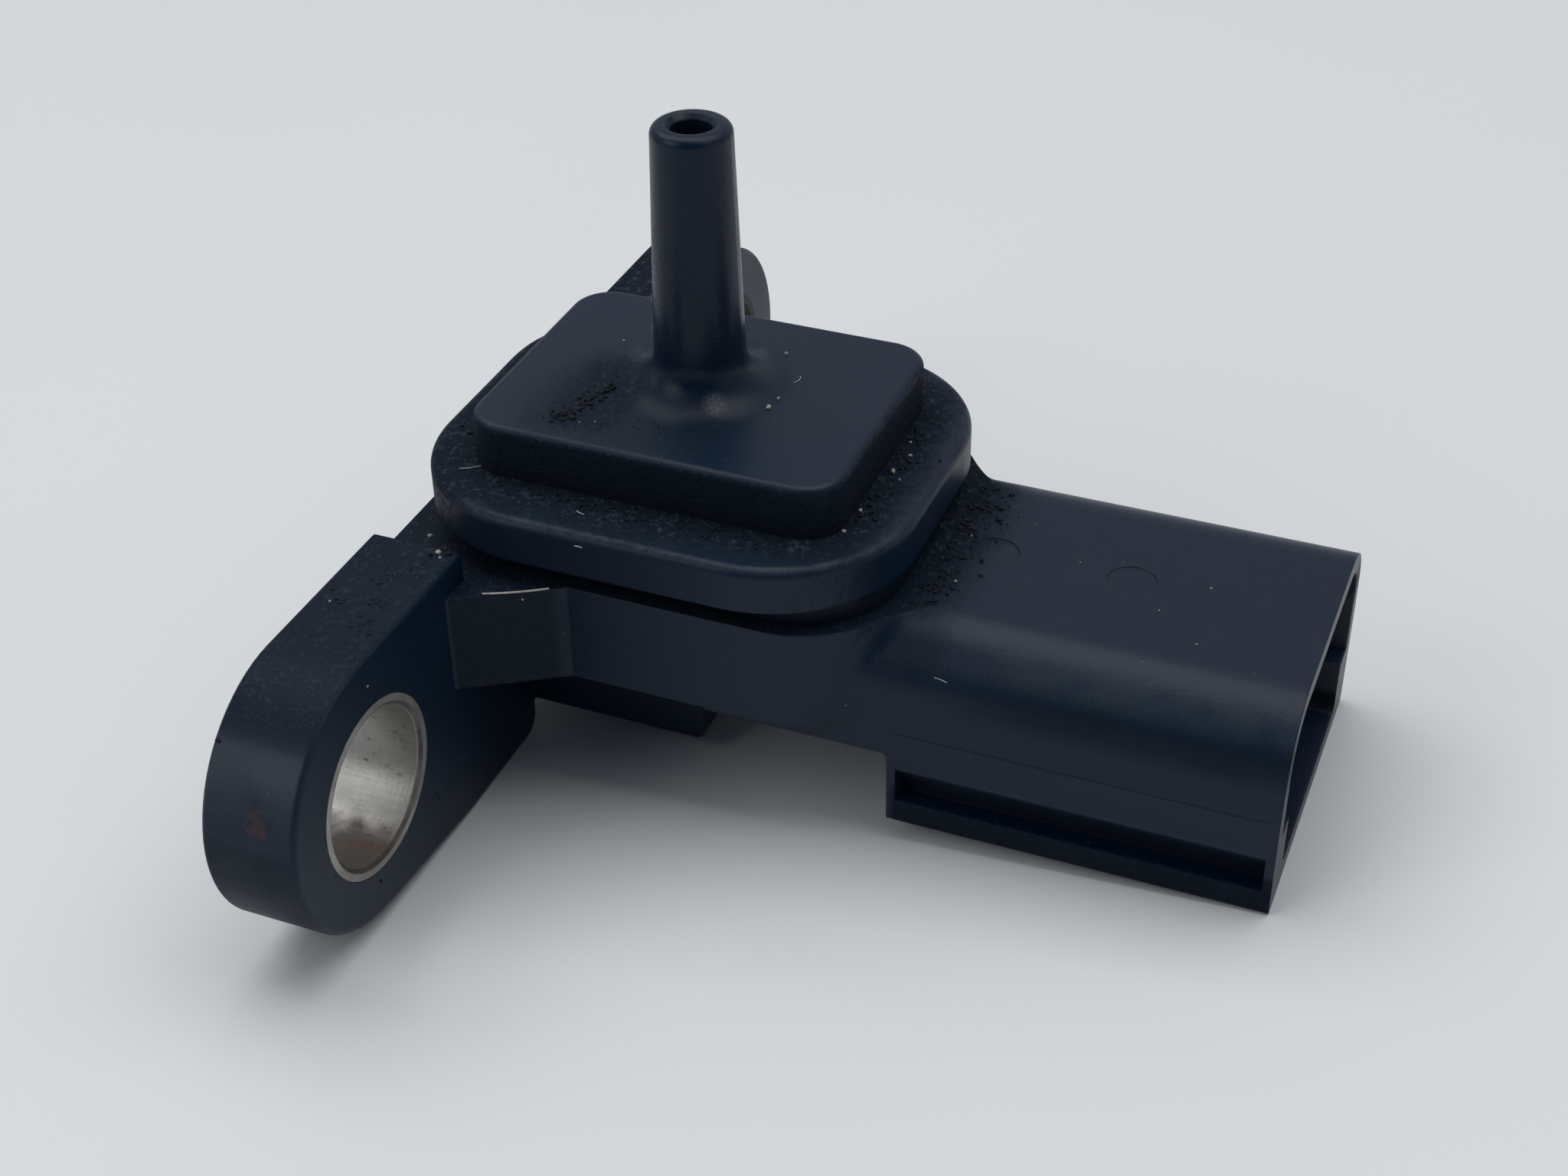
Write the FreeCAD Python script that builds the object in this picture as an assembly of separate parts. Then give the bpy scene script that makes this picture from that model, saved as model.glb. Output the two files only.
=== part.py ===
import FreeCAD, Part
import math
import os

# Vacuum pressure sensor of an engine's intake, built in millimetres.
# The origin is midway between the two bolt holes, on the flat back that is bolted on.
# +X runs from that back to the connector's mouth, and +Z runs up the hose nipple.

# Mounting plate with its two ears
HOLE_SPACING = 42.2
PLATE_THICKNESS = 5.0
EAR_RADIUS = 7.25
RAISED_BODY_GAP = 1.2
FOOT_DROP = 0.65
FOOT_SLOPE = 4.5
FOOT_CORNER_RADIUS = 1.2
NOTCH_WIDTH = 11.2
NOTCH_ROOF_DEPTH = 6.0
PLATE_EDGE_RADIUS = 0.3
GUSSET_LENGTH = 5.0
GUSSET_REACH = 3.1

# Rib that stiffens the plate under the body
RIB_LENGTH = 9.9
RIB_CORNER_RADIUS = 0.5

# Bushes moulded into the ears
BUSH_OUTER_RADIUS = 4.6
BUSH_BORE_RADIUS = 4.0
BUSH_CHAMFER = 0.2

# Sensor body
BODY_LENGTH = 25.8
BODY_WIDTH = 20.6
BODY_CORNER_RADIUS = 6.0
BODY_BACK_X = 0.3
BODY_TOP_Z = 5.7
BODY_HEIGHT = 5.45
BODY_FLOOR = 1.15
GROOVE_INSET = 0.9
GROOVE_WIDTH = 1.8
GROOVE_DEPTH = 1.7
INNER_RIM_WIDTH = 0.9
NECK_BLEND_RADIUS = 1.2

# Cap
CAP_LENGTH = 25.6
CAP_WIDTH = 21.8
CAP_CORNER_RADIUS = 7.4
CAP_BACK_X = 0.16
CAP_GAP = 1.32
SKIRT_HEIGHT = 2.35
SKIRT_EDGE_RADIUS = 0.5
PLATEAU_LENGTH = 19.6
PLATEAU_WIDTH = 15.0
PLATEAU_HEIGHT = 2.8
PLATEAU_CORNER_RADIUS = 2.1
PLATEAU_EDGE_RADIUS = 0.4
CAP_ROOF = 1.6
CAP_SIDE_WALL = 1.6
TONGUE_WIDTH = 0.9
TONGUE_END_CLEARANCE = 0.4

# Hose nipple on the cap
NIPPLE_LENGTH = 14.0
NIPPLE_TIP_RADIUS = 2.0
NIPPLE_BASE_RADIUS = 2.3
NIPPLE_BORE_RADIUS = 1.0
NIPPLE_TIP_ROUNDING = 0.5
NIPPLE_BORE_CHAMFER = 0.25
FLARE_RADIUS = 2.1

# Connector shroud
SHROUD_STANDOFF = 0.1
SHROUD_LENGTH = 19.2
SHROUD_WIDTH = 17.9
SHROUD_HEIGHT = 11.1
SHROUD_SHOULDER_RADIUS = 3.6
SHROUD_FOOT_RADIUS = 0.3
PARTING_Z = 0.35
SIDE_DRAFT = 0.15
SHROUD_WALL = 1.0
SOCKET_DEPTH = 15.0
CHANNEL_WIDTH = 12.6
CHANNEL_HEIGHT = 3.0
CHANNEL_FLOOR = 1.1
SLOT_HEIGHT = 1.6
SLOT_DEPTH = 1.2
SLOT_SILL = 1.4
SLOT_END_WALL = 0.45
SLOT_EDGE_RADIUS = 0.7
NECK_HEIGHT = 6.8
NECK_BURIED_LENGTH = 9.7
NECK_CORNER_RADIUS = 0.6
RAMP_WIDTH = 4.0
RAMP_LENGTH = 3.2
RAMP_HEIGHT = 1.1
RAMP_SETBACK = 4.0

# Marks that the mould's ejector pins leave on the shroud
EJECTOR_MARK_RADIUS = 1.25
EJECTOR_MARK_DEPTH = 0.06
EJECTOR_MARK_SPACING = 7.0
EJECTOR_MARK_SETBACK = 9.8

# Terminals moulded into the housing
TERMINAL_COUNT = 3
TERMINAL_PITCH = 4.2
TERMINAL_THICKNESS = 0.64
BLADE_WIDTH = 2.2
BLADE_REACH = 10.0
BLADE_TIP_LENGTH = 0.9
BLADE_TIP_THICKNESS = 0.3
TAIL_WIDTH = 1.5
TAIL_REACH = 3.0
TERMINAL_STEP_DISTANCE = 2.0

# Circuit board
BOARD_THICKNESS = 0.8
BOARD_CLEARANCE = 0.7
BOARD_TAIL_GAP = 1.7
BOARD_GLUE = 0.15

# Case of the sensing element
CASE_SIZE = 5.2
CASE_HEIGHT = 2.7
CASE_WALL = 0.75
CASE_FLOOR = 0.7
CASE_FRONT_GAP = 1.0
CASE_CORNER_RADIUS = 0.5
LEAD_COUNT = 3
LEAD_PITCH = 1.4
LEAD_WIDTH = 0.45
LEAD_THICKNESS = 0.25
LEAD_HEIGHT = 1.1
LEAD_REACH = 0.6
LEAD_FOOT = 0.5
LEAD_ROOT_COVER = 0.2
SOLDER_TOE = 0.25
PEDESTAL_SIZE = 1.5
PEDESTAL_HEIGHT = 0.8
DIE_SIZE = 1.5
DIE_THICKNESS = 0.4
GEL_COVER = 0.4
DIE_WIRE_COUNT = 4
DIE_WIRE_RADIUS = 0.06
DIE_WIRE_SPREAD = 0.3
DIE_WIRE_RISE = 0.25
DIE_PAD_INSET = 0.2
TAIL_WIRE_RADIUS = 0.15
TAIL_WIRE_RISE = 0.8
TAIL_WIRE_PAD_INSET = 0.6

# Small parts on the board
CAPACITOR_LENGTH = 1.6
CAPACITOR_WIDTH = 0.8
CAPACITOR_HEIGHT = 0.7
CAPACITOR_END = 0.3
CAPACITOR_END_STEP = 0.04
CAPACITOR_GAP = 0.45
AMPLIFIER_LENGTH = 1.4
AMPLIFIER_WIDTH = 1.8
AMPLIFIER_HEIGHT = 0.35
AMPLIFIER_CASE_GAP = 0.4
COATING_MARGIN = 0.5
COATING_COVER = 0.4
COATING_ROUNDING = 0.2

# Levels and places worked out from the sizes
HOLE_Y = HOLE_SPACING / 2
RAISED_INNER_Y = BODY_WIDTH / 2 + RAISED_BODY_GAP
BODY_CENTRE_X = BODY_BACK_X + BODY_LENGTH / 2
BODY_FRONT_X = BODY_BACK_X + BODY_LENGTH
CAP_CENTRE_X = CAP_BACK_X + CAP_LENGTH / 2
BODY_BOTTOM_Z = BODY_TOP_Z - BODY_HEIGHT
CAVITY_INSET = GROOVE_INSET + GROOVE_WIDTH + INNER_RIM_WIDTH
CAVITY_FLOOR_Z = BODY_BOTTOM_Z + BODY_FLOOR
CAVITY_BACK_X = BODY_BACK_X + CAVITY_INSET
CAVITY_FRONT_X = BODY_FRONT_X - CAVITY_INSET
GROOVE_FLOOR_Z = BODY_TOP_Z - GROOVE_DEPTH
SKIRT_BOTTOM_Z = BODY_TOP_Z + CAP_GAP
LEDGE_Z = SKIRT_BOTTOM_Z + SKIRT_HEIGHT
PLATEAU_Z = LEDGE_Z + PLATEAU_HEIGHT
CAP_CEILING_Z = PLATEAU_Z - CAP_ROOF
NIPPLE_TOP_Z = PLATEAU_Z + NIPPLE_LENGTH
TONGUE_INSET = GROOVE_INSET + (GROOVE_WIDTH - TONGUE_WIDTH) / 2
SHROUD_TOP_Z = BODY_TOP_Z
SHROUD_BOTTOM_Z = SHROUD_TOP_Z - SHROUD_HEIGHT
SHROUD_START_X = BODY_FRONT_X + SHROUD_STANDOFF
MOUTH_X = SHROUD_START_X + SHROUD_LENGTH
SOCKET_FLOOR_X = MOUTH_X - SOCKET_DEPTH
CHANNEL_BOTTOM_Z = SHROUD_BOTTOM_Z + CHANNEL_FLOOR
CHANNEL_TOP_Z = CHANNEL_BOTTOM_Z + CHANNEL_HEIGHT
TERMINAL_Z = CAVITY_FLOOR_Z + TERMINAL_THICKNESS / 2
BOARD_BACK_X = CAVITY_BACK_X + BOARD_CLEARANCE
BOARD_INSET = CAVITY_INSET + BOARD_CLEARANCE
BOARD_EDGE_Y = BODY_WIDTH / 2 - BOARD_INSET
BOARD_FRONT_X = CAVITY_FRONT_X - TAIL_REACH - BOARD_TAIL_GAP
BOARD_Z = CAVITY_FLOOR_Z + BOARD_GLUE
BOARD_TOP_Z = BOARD_Z + BOARD_THICKNESS
CASE_X = BOARD_FRONT_X - CASE_FRONT_GAP - CASE_SIZE / 2
CASE_TOP_Z = BOARD_TOP_Z + CASE_HEIGHT
CASE_BORE_Z = BOARD_TOP_Z + CASE_FLOOR
CASE_BORE_DEPTH = CASE_HEIGHT - CASE_FLOOR
CASE_BORE_RADIUS = CASE_SIZE / 2 - CASE_WALL
LEAD_ROOT_DEPTH = CASE_WALL - LEAD_ROOT_COVER
PEDESTAL_TOP_Z = CASE_BORE_Z + PEDESTAL_HEIGHT
DIE_TOP_Z = PEDESTAL_TOP_Z + DIE_THICKNESS
COATING_LENGTH = AMPLIFIER_LENGTH + 2 * COATING_MARGIN
COATING_WIDTH = AMPLIFIER_WIDTH + 2 * COATING_MARGIN
AMPLIFIER_X = CASE_X - CASE_SIZE / 2 - AMPLIFIER_CASE_GAP - COATING_LENGTH / 2


def vec(x, y, z):
    return FreeCAD.Vector(x, y, z)


def box(x0, x1, y0, y1, z0, z1):
    return Part.makeBox(x1 - x0, y1 - y0, z1 - z0, vec(x0, y0, z0))


def rounded_prism(centre_x, length, width, radius, z0, z1):
    """An upright prism on a rectangle with rounded corners, centred on y = 0."""
    solid = box(centre_x - length / 2, centre_x + length / 2, -width / 2, width / 2, z0, z1)
    return fillet(solid, radius, lambda edge: is_along(edge, 2))


def body_prism(inset, z0, z1):
    """The body's plan outline, drawn in by an inset."""
    radius = max(BODY_CORNER_RADIUS - inset, 0.5)
    return rounded_prism(
        BODY_CENTRE_X, BODY_LENGTH - 2 * inset, BODY_WIDTH - 2 * inset, radius, z0, z1
    )


def is_along(edge, axis):
    """True for a straight edge that runs along one axis: 0 for X, 1 for Y, 2 for Z."""
    if edge.Curve.TypeId != "Part::GeomLine":
        return False
    start = edge.Vertexes[0].Point
    end = edge.Vertexes[-1].Point
    return all(abs(start[i] - end[i]) < 1e-6 for i in range(3) if i != axis)


def lies_at(edge, axis, value):
    """True when every point of the edge has this coordinate."""
    bounds = edge.BoundBox
    low = (bounds.XMin, bounds.YMin, bounds.ZMin)[axis]
    high = (bounds.XMax, bounds.YMax, bounds.ZMax)[axis]
    return abs(low - value) < 1e-4 and abs(high - value) < 1e-4


def fillet(solid, radius, wanted):
    edges = [edge for edge in solid.Edges if wanted(edge)]
    return solid.makeFillet(radius, edges)


def arc(centre, radius, start, end):
    """An arc in the plane x = 0, its angles in degrees from +Y towards +Z."""
    points = []
    for angle in (start, (start + end) / 2, end):
        turn = math.radians(angle)
        points.append(vec(0, centre[0] + radius * math.cos(turn), centre[1] + radius * math.sin(turn)))
    return Part.Arc(*points).toShape()


def section(items):
    """A face in the plane x = 0 from points and arcs in order, joined by straight edges."""
    edges = []
    last = None
    first = None
    for item in items:
        if isinstance(item, tuple):
            start = end = vec(0, *item)
        else:
            start = item.valueAt(item.FirstParameter)
            end = item.valueAt(item.LastParameter)
        if last is not None and last.distanceToPoint(start) > 1e-7:
            edges.append(Part.makeLine(last, start))
        if not isinstance(item, tuple):
            edges.append(item)
        first = start if first is None else first
        last = end
    if last.distanceToPoint(first) > 1e-7:
        edges.append(Part.makeLine(last, first))
    return Part.Face(Part.Wire(edges))


def along_x(face, x0, x1):
    moved = face.copy()
    moved.translate(vec(x0, 0, 0))
    return moved.extrude(vec(x1 - x0, 0, 0))


def cylinder_x(radius, x0, x1, y, z=0.0):
    return Part.makeCylinder(radius, x1 - x0, vec(x0, y, z), vec(1, 0, 0))


def fused(solids):
    result = solids[0]
    for solid in solids[1:]:
        result = result.fuse(solid)
    return result.removeSplitter()


def mirrored(solid):
    """The same solid on the other side of the plane y = 0."""
    return solid.mirror(vec(0, 0, 0), vec(0, 1, 0))


# Mounting plate: one outline across both ears, with a notch between their feet
def mounting_plate():
    slope = math.radians(FOOT_SLOPE)
    foot_z = -EAR_RADIUS - FOOT_DROP
    tangent_y = HOLE_Y + EAR_RADIUS * math.sin(slope)
    tangent_z = -EAR_RADIUS * math.cos(slope)
    foot_y = tangent_y - (tangent_z - foot_z) / math.tan(slope)
    notch_y = NOTCH_WIDTH / 2
    corner = FOOT_CORNER_RADIUS
    half = [
        (0.0, BODY_TOP_Z),
        (RAISED_INNER_Y, BODY_TOP_Z),
        (RAISED_INNER_Y, EAR_RADIUS),
        arc((HOLE_Y, 0.0), EAR_RADIUS, 90, -90 + FOOT_SLOPE),
        (foot_y, foot_z),
        arc((notch_y + corner, foot_z + corner), corner, -90, -180),
        (notch_y, -NOTCH_ROOF_DEPTH),
        (0.0, -NOTCH_ROOF_DEPTH),
    ]
    far_half = along_x(section(half), 0, PLATE_THICKNESS)
    plate = fused([far_half, mirrored(far_half)])

    def ear_rim(edge):
        on_face = lies_at(edge, 0, 0) or lies_at(edge, 0, PLATE_THICKNESS)
        return on_face and edge.Curve.TypeId == "Part::GeomCircle" and edge.Curve.Radius > corner + 0.1

    return fillet(plate, PLATE_EDGE_RADIUS, ear_rim)


def gusset():
    """The near-side web from the ear's face to the body's wall."""
    wall_y = -BODY_WIDTH / 2
    root_y = wall_y + BODY_CORNER_RADIUS
    points = [
        vec(PLATE_THICKNESS, wall_y - GUSSET_REACH, BODY_BOTTOM_Z),
        vec(PLATE_THICKNESS + GUSSET_LENGTH, wall_y, BODY_BOTTOM_Z),
        vec(PLATE_THICKNESS + GUSSET_LENGTH, root_y, BODY_BOTTOM_Z),
        vec(0, root_y, BODY_BOTTOM_Z),
        vec(0, wall_y - GUSSET_REACH, BODY_BOTTOM_Z),
    ]
    outline = Part.makePolygon(points + [points[0]])
    return Part.Face(outline).extrude(vec(0, 0, BODY_HEIGHT))


def underside_rib():
    rib = box(
        0, PLATE_THICKNESS + RIB_LENGTH,
        -NOTCH_WIDTH / 2, NOTCH_WIDTH / 2,
        -NOTCH_ROOF_DEPTH, BODY_BOTTOM_Z,
    )
    end_x = PLATE_THICKNESS + RIB_LENGTH

    def lower_end(edge):
        return lies_at(edge, 0, end_x) and lies_at(edge, 2, -NOTCH_ROOF_DEPTH)

    return fillet(rib, RIB_CORNER_RADIUS, lower_end)


# Connector: a drafted section with round shoulders, widest at the parting line
def shroud_section():
    half = SHROUD_WIDTH / 2
    shoulder = SHROUD_SHOULDER_RADIUS
    upper = half - SIDE_DRAFT
    lower = half - SIDE_DRAFT / 2
    foot = SHROUD_FOOT_RADIUS
    outline = [
        (-half, PARTING_Z),
        arc((-upper + shoulder, SHROUD_TOP_Z - shoulder), shoulder, 180, 90),
        arc((upper - shoulder, SHROUD_TOP_Z - shoulder), shoulder, 90, 0),
        (half, PARTING_Z),
        arc((lower - foot, SHROUD_BOTTOM_Z + foot), foot, 0, -90),
        arc((-lower + foot, SHROUD_BOTTOM_Z + foot), foot, -90, -180),
    ]
    return section(outline)


def side_slot():
    """The long recess low on the near side of the shroud, walled off at both ends."""
    z0 = SHROUD_BOTTOM_Z + SLOT_SILL
    outer_y = -SHROUD_WIDTH / 2
    return box(
        SHROUD_START_X + SLOT_END_WALL,
        MOUTH_X - SLOT_END_WALL,
        outer_y - 1,
        outer_y + SLOT_DEPTH,
        z0,
        z0 + SLOT_HEIGHT,
    )


def shroud():
    body = along_x(shroud_section(), SHROUD_START_X, MOUTH_X)
    body = body.cut(side_slot()).cut(mirrored(side_slot()))
    slot_top = SHROUD_BOTTOM_Z + SLOT_SILL + SLOT_HEIGHT

    def slot_lip(edge):
        outer = abs(edge.BoundBox.YMax) > SHROUD_WIDTH / 2 - SLOT_DEPTH / 2
        return is_along(edge, 0) and lies_at(edge, 2, slot_top) and outer

    return fillet(body, SLOT_EDGE_RADIUS, slot_lip)


def neck():
    """The shallower part of the shroud that runs back under the body."""
    start_x = SHROUD_START_X - NECK_BURIED_LENGTH
    bottom_z = SHROUD_TOP_Z - NECK_HEIGHT
    full = along_x(shroud_section(), start_x, SHROUD_START_X)
    return full.common(box(start_x, SHROUD_START_X, -SHROUD_WIDTH, SHROUD_WIDTH, bottom_z, SHROUD_TOP_Z))


def neck_corner():
    """The rounded inside corner between the neck's underside and the shroud's back."""
    radius = NECK_CORNER_RADIUS
    reach = radius * (1 - math.sqrt(0.5))
    x = SHROUD_START_X
    z = SHROUD_TOP_Z - NECK_HEIGHT
    half = SHROUD_WIDTH / 2 - SIDE_DRAFT
    edges = [
        Part.makeLine(vec(x, -half, z), vec(x - radius, -half, z)),
        Part.Arc(
            vec(x - radius, -half, z), vec(x - reach, -half, z - reach), vec(x, -half, z - radius)
        ).toShape(),
        Part.makeLine(vec(x, -half, z - radius), vec(x, -half, z)),
    ]
    return Part.Face(Part.Wire(edges)).extrude(vec(0, 2 * half, 0))


def socket():
    """The space that the plug enters: a main bay over a narrower latch channel."""
    bay = SHROUD_WIDTH / 2 - SHROUD_WALL - SIDE_DRAFT
    radius = SHROUD_SHOULDER_RADIUS - SHROUD_WALL
    top_z = SHROUD_TOP_Z - SHROUD_WALL
    channel = CHANNEL_WIDTH / 2
    foot = 0.5
    outline = [
        (-bay, CHANNEL_TOP_Z),
        arc((-bay + radius, top_z - radius), radius, 180, 90),
        arc((bay - radius, top_z - radius), radius, 90, 0),
        (bay, CHANNEL_TOP_Z),
        (channel, CHANNEL_TOP_Z),
        arc((channel - foot, CHANNEL_BOTTOM_Z + foot), foot, 0, -90),
        arc((-channel + foot, CHANNEL_BOTTOM_Z + foot), foot, -90, -180),
        (-channel, CHANNEL_TOP_Z),
    ]
    return along_x(section(outline), SOCKET_FLOOR_X, MOUTH_X)


def ejector_mark(index):
    """A shallow round pin mark on the shroud's flat top."""
    x = MOUTH_X - EJECTOR_MARK_SETBACK - index * EJECTOR_MARK_SPACING
    base = vec(x, 0, SHROUD_TOP_Z - EJECTOR_MARK_DEPTH)
    return Part.makeCylinder(EJECTOR_MARK_RADIUS, 1, base)


def latch_ramp():
    """The catch on the channel's floor, sloped towards the mouth."""
    x1 = MOUTH_X - RAMP_SETBACK
    x0 = x1 - RAMP_LENGTH
    top_z = CHANNEL_BOTTOM_Z + RAMP_HEIGHT
    root_z = CHANNEL_BOTTOM_Z - CHANNEL_FLOOR / 2
    points = [
        vec(x0, -RAMP_WIDTH / 2, root_z),
        vec(x0, -RAMP_WIDTH / 2, top_z),
        vec(x0 + RAMP_LENGTH / 4, -RAMP_WIDTH / 2, top_z),
        vec(x1, -RAMP_WIDTH / 2, CHANNEL_BOTTOM_Z),
        vec(x1, -RAMP_WIDTH / 2, root_z),
    ]
    outline = Part.makePolygon(points + [points[0]])
    return Part.Face(outline).extrude(vec(0, RAMP_WIDTH, 0))


def seal_groove():
    outer = body_prism(GROOVE_INSET, GROOVE_FLOOR_Z, BODY_TOP_Z)
    return outer.cut(body_prism(GROOVE_INSET + GROOVE_WIDTH, GROOVE_FLOOR_Z, BODY_TOP_Z))


# Terminals: a blade for the plug and a narrower tail in the body's cavity
def terminal(index):
    y = (index - (TERMINAL_COUNT - 1) / 2) * TERMINAL_PITCH
    z0 = CAVITY_FLOOR_Z
    z1 = z0 + TERMINAL_THICKNESS
    step_x = SOCKET_FLOOR_X - TERMINAL_STEP_DISTANCE
    tip_x = SOCKET_FLOOR_X + BLADE_REACH
    tail = box(CAVITY_FRONT_X - TAIL_REACH, step_x, y - TAIL_WIDTH / 2, y + TAIL_WIDTH / 2, z0, z1)
    blade = box(step_x, tip_x - BLADE_TIP_LENGTH, y - BLADE_WIDTH / 2, y + BLADE_WIDTH / 2, z0, z1)
    return fused([tail, blade, blade_tip(tip_x, y)])


def blade_tip(tip_x, y):
    start = rectangle_yz(tip_x - BLADE_TIP_LENGTH, y, BLADE_WIDTH, TERMINAL_THICKNESS)
    width = BLADE_WIDTH - TERMINAL_THICKNESS + BLADE_TIP_THICKNESS
    end = rectangle_yz(tip_x, y, width, BLADE_TIP_THICKNESS)
    return Part.makeLoft([start, end], True, True)


def rectangle_yz(x, y, width, thickness):
    z = TERMINAL_Z
    points = [
        vec(x, y - width / 2, z - thickness / 2),
        vec(x, y + width / 2, z - thickness / 2),
        vec(x, y + width / 2, z + thickness / 2),
        vec(x, y - width / 2, z + thickness / 2),
    ]
    return Part.makePolygon(points + [points[0]])


def terminals():
    return [terminal(index) for index in range(TERMINAL_COUNT)]


# Housing: plate, body, neck and shroud as one moulding
def outline_distance(point):
    """How far a point lies outside the body's plan outline."""
    along = abs(point.x - BODY_CENTRE_X) - (BODY_LENGTH / 2 - BODY_CORNER_RADIUS)
    across = abs(point.y) - (BODY_WIDTH / 2 - BODY_CORNER_RADIUS)
    if along > 0 and across > 0:
        return math.hypot(along, across) - BODY_CORNER_RADIUS
    return max(along, across) - BODY_CORNER_RADIUS


def is_neck_blend(edge):
    """True for the inside edges where the shroud leaves the body's front."""
    for vertex in edge.Vertexes:
        if abs(outline_distance(vertex.Point)) > 1e-3:
            return False
        if vertex.Point.x < BODY_FRONT_X - BODY_CORNER_RADIUS + 0.05:
            return False
    return edge.BoundBox.ZLength > 0.05 and not is_along(edge, 2)


def blend_neck(solid):
    """Rounds those edges. A shroud as wide as the body leaves none."""
    edges = [edge for edge in solid.Edges if is_neck_blend(edge)]
    return solid.makeFillet(NECK_BLEND_RADIUS, edges) if edges else solid


def housing():
    near_gusset = gusset()
    solid = fused(
        [
            mounting_plate(),
            underside_rib(),
            near_gusset,
            mirrored(near_gusset),
            body_prism(0, BODY_BOTTOM_Z, BODY_TOP_Z),
            neck(),
            neck_corner(),
            shroud(),
        ]
    )
    solid = blend_neck(solid)
    solid = solid.cut(seal_groove())
    solid = solid.cut(body_prism(CAVITY_INSET, CAVITY_FLOOR_Z, BODY_TOP_Z))
    solid = solid.cut(socket())
    solid = solid.fuse(latch_ramp())
    for side in (-1, 1):
        solid = solid.cut(cylinder_x(BUSH_OUTER_RADIUS, 0, PLATE_THICKNESS, side * HOLE_Y))
    for index in range(2):
        solid = solid.cut(ejector_mark(index))
    for piece in terminals():
        solid = solid.cut(piece)
    return solid.removeSplitter()


def bush(side):
    ring = cylinder_x(BUSH_OUTER_RADIUS, 0, PLATE_THICKNESS, side * HOLE_Y)
    ring = ring.cut(cylinder_x(BUSH_BORE_RADIUS, 0, PLATE_THICKNESS, side * HOLE_Y))

    def bore_ends(edge):
        if edge.Curve.TypeId != "Part::GeomCircle":
            return False
        return abs(edge.Curve.Radius - BUSH_BORE_RADIUS) < 1e-6

    return ring.makeChamfer(BUSH_CHAMFER, [edge for edge in ring.Edges if bore_ends(edge)])


# Cap: a skirt, a raised plateau and the nipple, hollow beneath
def nipple():
    """The tube with its flared foot, turned about its own axis."""
    foot = NIPPLE_BASE_RADIUS + FLARE_RADIUS
    tip = NIPPLE_TIP_RADIUS
    rounding = NIPPLE_TIP_ROUNDING
    ease = math.sqrt(0.5)
    z = PLATEAU_Z
    sunk = z - CAP_ROOF / 2
    edges = [
        Part.makeLine(vec(0, 0, sunk), vec(foot, 0, sunk)),
        Part.makeLine(vec(foot, 0, sunk), vec(foot, 0, z)),
        Part.Arc(
            vec(foot, 0, z),
            vec(foot - FLARE_RADIUS * ease, 0, z + FLARE_RADIUS * (1 - ease)),
            vec(NIPPLE_BASE_RADIUS, 0, z + FLARE_RADIUS),
        ).toShape(),
        Part.makeLine(vec(NIPPLE_BASE_RADIUS, 0, z + FLARE_RADIUS), vec(tip, 0, NIPPLE_TOP_Z - rounding)),
        Part.Arc(
            vec(tip, 0, NIPPLE_TOP_Z - rounding),
            vec(tip - rounding * (1 - ease), 0, NIPPLE_TOP_Z - rounding * (1 - ease)),
            vec(tip - rounding, 0, NIPPLE_TOP_Z),
        ).toShape(),
        Part.makeLine(vec(tip - rounding, 0, NIPPLE_TOP_Z), vec(0, 0, NIPPLE_TOP_Z)),
        Part.makeLine(vec(0, 0, NIPPLE_TOP_Z), vec(0, 0, sunk)),
    ]
    turned = Part.Face(Part.Wire(edges)).revolve(vec(0, 0, 0), vec(0, 0, 1), 360)
    turned.translate(vec(CAP_CENTRE_X, 0, 0))
    return turned


def nipple_bore():
    axis_x = CAP_CENTRE_X
    start_z = CAP_CEILING_Z - 1
    bore = Part.makeCylinder(NIPPLE_BORE_RADIUS, NIPPLE_TOP_Z - start_z, vec(axis_x, 0, start_z))
    mouth = Part.makeCone(
        NIPPLE_BORE_RADIUS,
        NIPPLE_BORE_RADIUS + NIPPLE_BORE_CHAMFER,
        NIPPLE_BORE_CHAMFER,
        vec(axis_x, 0, NIPPLE_TOP_Z - NIPPLE_BORE_CHAMFER),
    )
    return bore.fuse(mouth)


def plateau():
    sunk = LEDGE_Z - SKIRT_HEIGHT / 2
    solid = rounded_prism(
        CAP_CENTRE_X, PLATEAU_LENGTH, PLATEAU_WIDTH, PLATEAU_CORNER_RADIUS, sunk, PLATEAU_Z
    )
    return fillet(solid, PLATEAU_EDGE_RADIUS, lambda edge: lies_at(edge, 2, PLATEAU_Z))


def cap_hollow():
    seat_inset = CAVITY_INSET
    low = body_prism(seat_inset, BODY_TOP_Z, SKIRT_BOTTOM_Z)
    length = PLATEAU_LENGTH - 2 * CAP_SIDE_WALL
    width = PLATEAU_WIDTH - 2 * CAP_SIDE_WALL
    radius = PLATEAU_CORNER_RADIUS / 2
    high = rounded_prism(CAP_CENTRE_X, length, width, radius, SKIRT_BOTTOM_Z, CAP_CEILING_Z)
    return low.fuse(high)


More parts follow.
